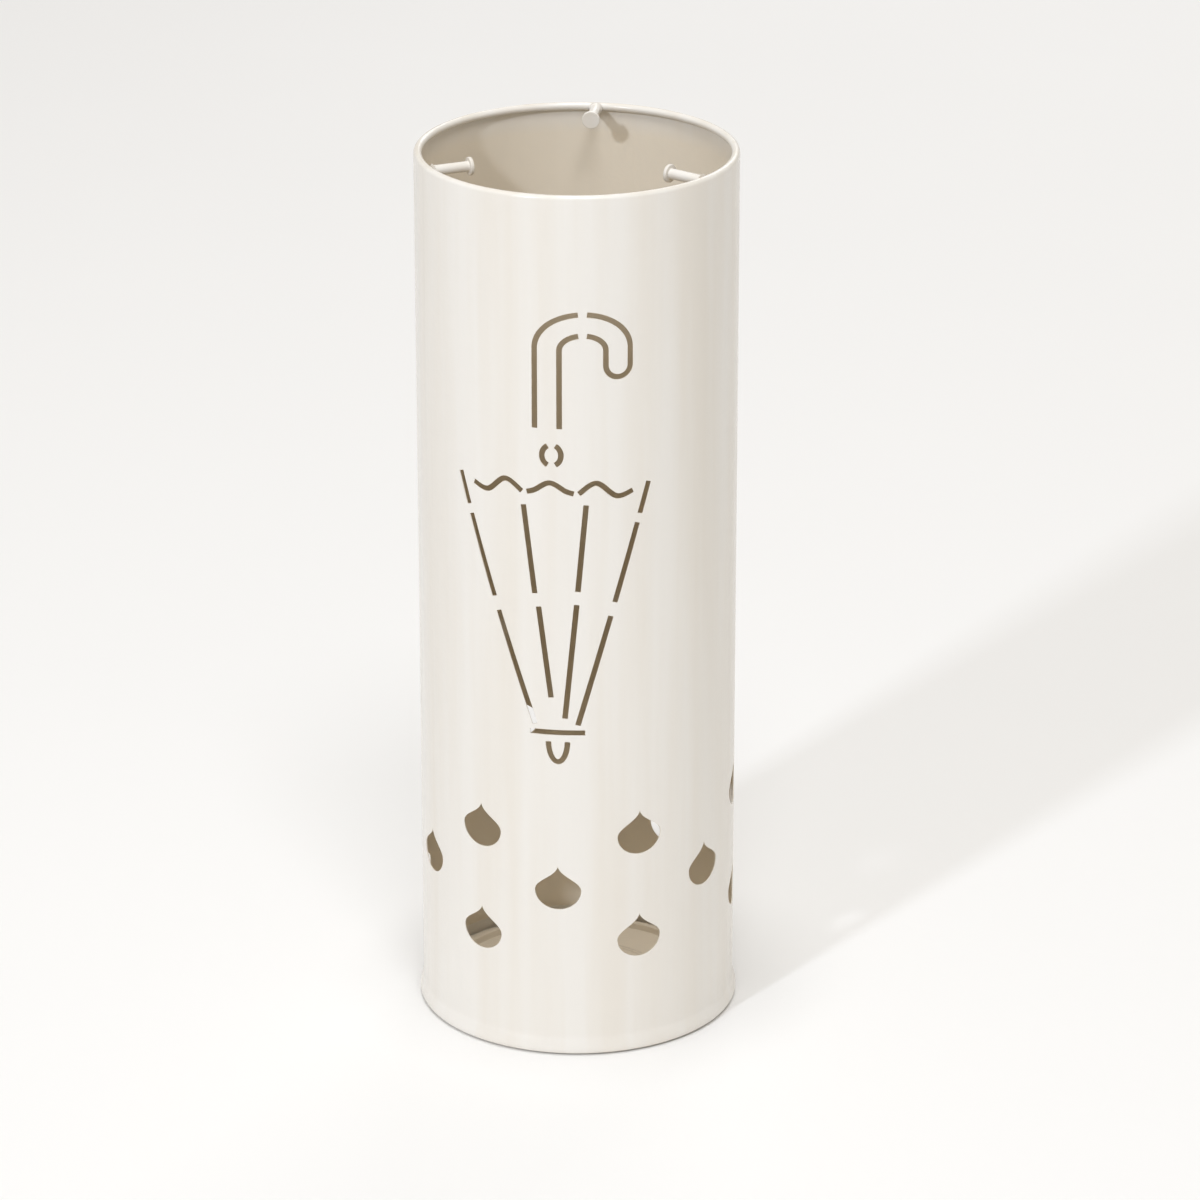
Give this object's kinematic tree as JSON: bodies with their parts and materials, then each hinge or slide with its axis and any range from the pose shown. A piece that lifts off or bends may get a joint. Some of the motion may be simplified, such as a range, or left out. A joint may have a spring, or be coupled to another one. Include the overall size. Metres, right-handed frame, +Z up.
{
  "type": "umbrella stand",
  "caption": "Tall round sheet-steel umbrella stand with an umbrella stencil, raindrop cut-outs, inward hooks under a rolled rim and a loose drip tray.",
  "frame": {"origin": "on the ground, on the axis of the round stand", "axes": "+Z up along the stand's axis; the stencilled front faces -Y; +X is to the right of someone who faces the front"},
  "size_m": [0.18, 0.18, 0.502],
  "materials": {
    "coat": "satin cream-white powder coat",
    "wire": "bright drawn wire",
    "pad": "matte foam rubber"
  },
  "bodies": {
    "stand": {"body_shell": "coat", "rim_wire": "wire", "base_pan": "coat", "foot_pad_1": "pad", "foot_pad_2": "pad", "foot_pad_3": "pad", "foot_pad_4": "pad", "hook_pin_left": "coat", "hook_pin_right": "coat", "hook_pin_back": "coat"},
    "tray": {"drip_tray": "coat"}
  },
  "joints": [
    {"name": "tray_lift", "type": "slide", "parent": "stand", "child": "tray", "axis": [0, 0, 1], "range_m": [0, 0.46]}
  ]
}
